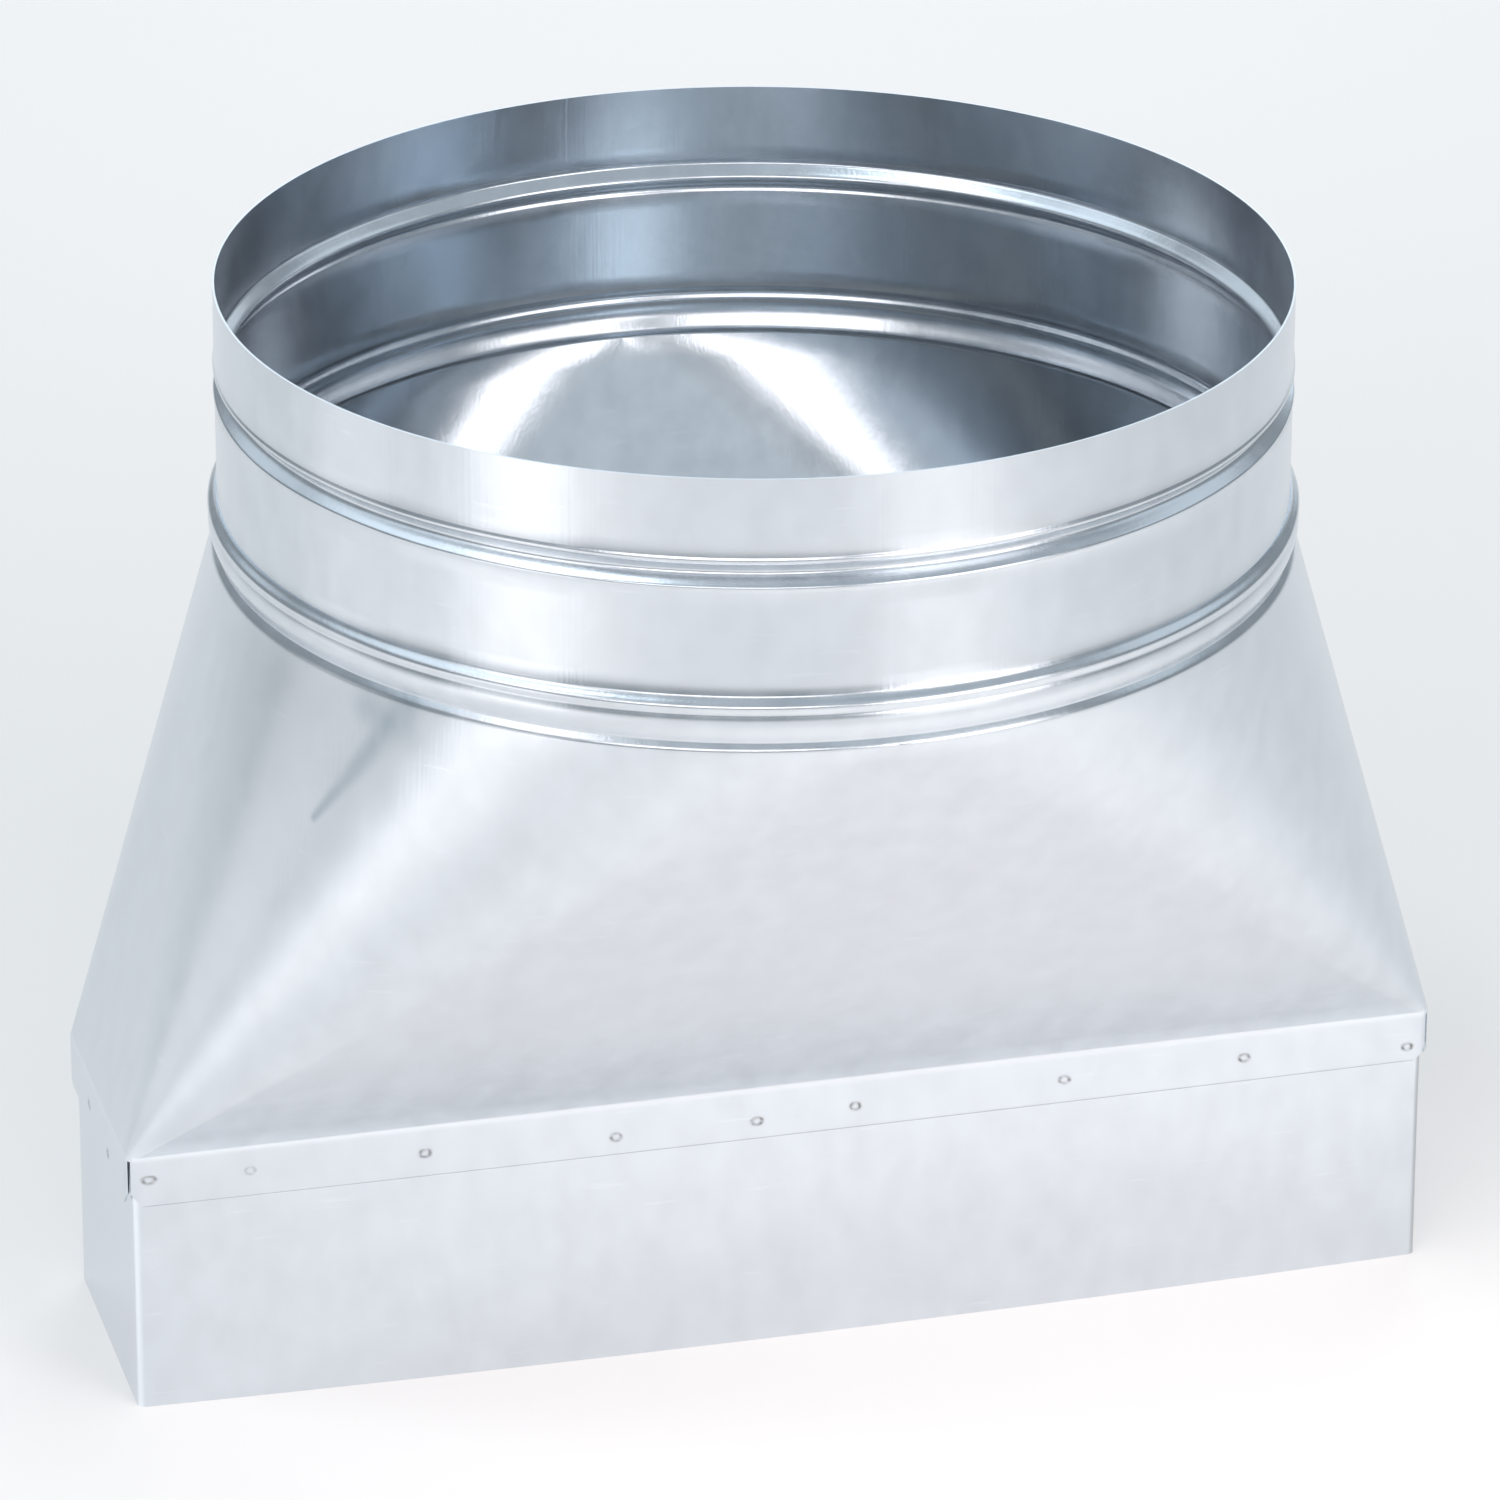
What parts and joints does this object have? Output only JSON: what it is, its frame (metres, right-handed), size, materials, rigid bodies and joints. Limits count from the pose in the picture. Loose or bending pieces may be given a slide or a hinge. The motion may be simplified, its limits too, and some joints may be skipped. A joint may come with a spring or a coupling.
{
  "type": "flat duct adapter",
  "caption": "Galvanised sheet adapter that joins a round duct to a flat rectangular duct, with a beaded round socket, a square-to-round transition and a rectangular collar.",
  "frame": {"origin": "centre of the rectangular collar's free edge, in the plane that the adapter stands on", "axes": "+Z along the round socket's axis, away from the rectangular collar; +X along the wide side of the rectangular collar; +Y along its narrow side"},
  "size_m": [0.4038, 0.3222, 0.3265],
  "materials": {
    "galvanised_steel": "bright zinc coating, satin"
  },
  "bodies": {
    "root": {"round_collar": "galvanised_steel", "transition": "galvanised_steel", "rectangular_collar": "galvanised_steel"}
  },
  "joints": []
}
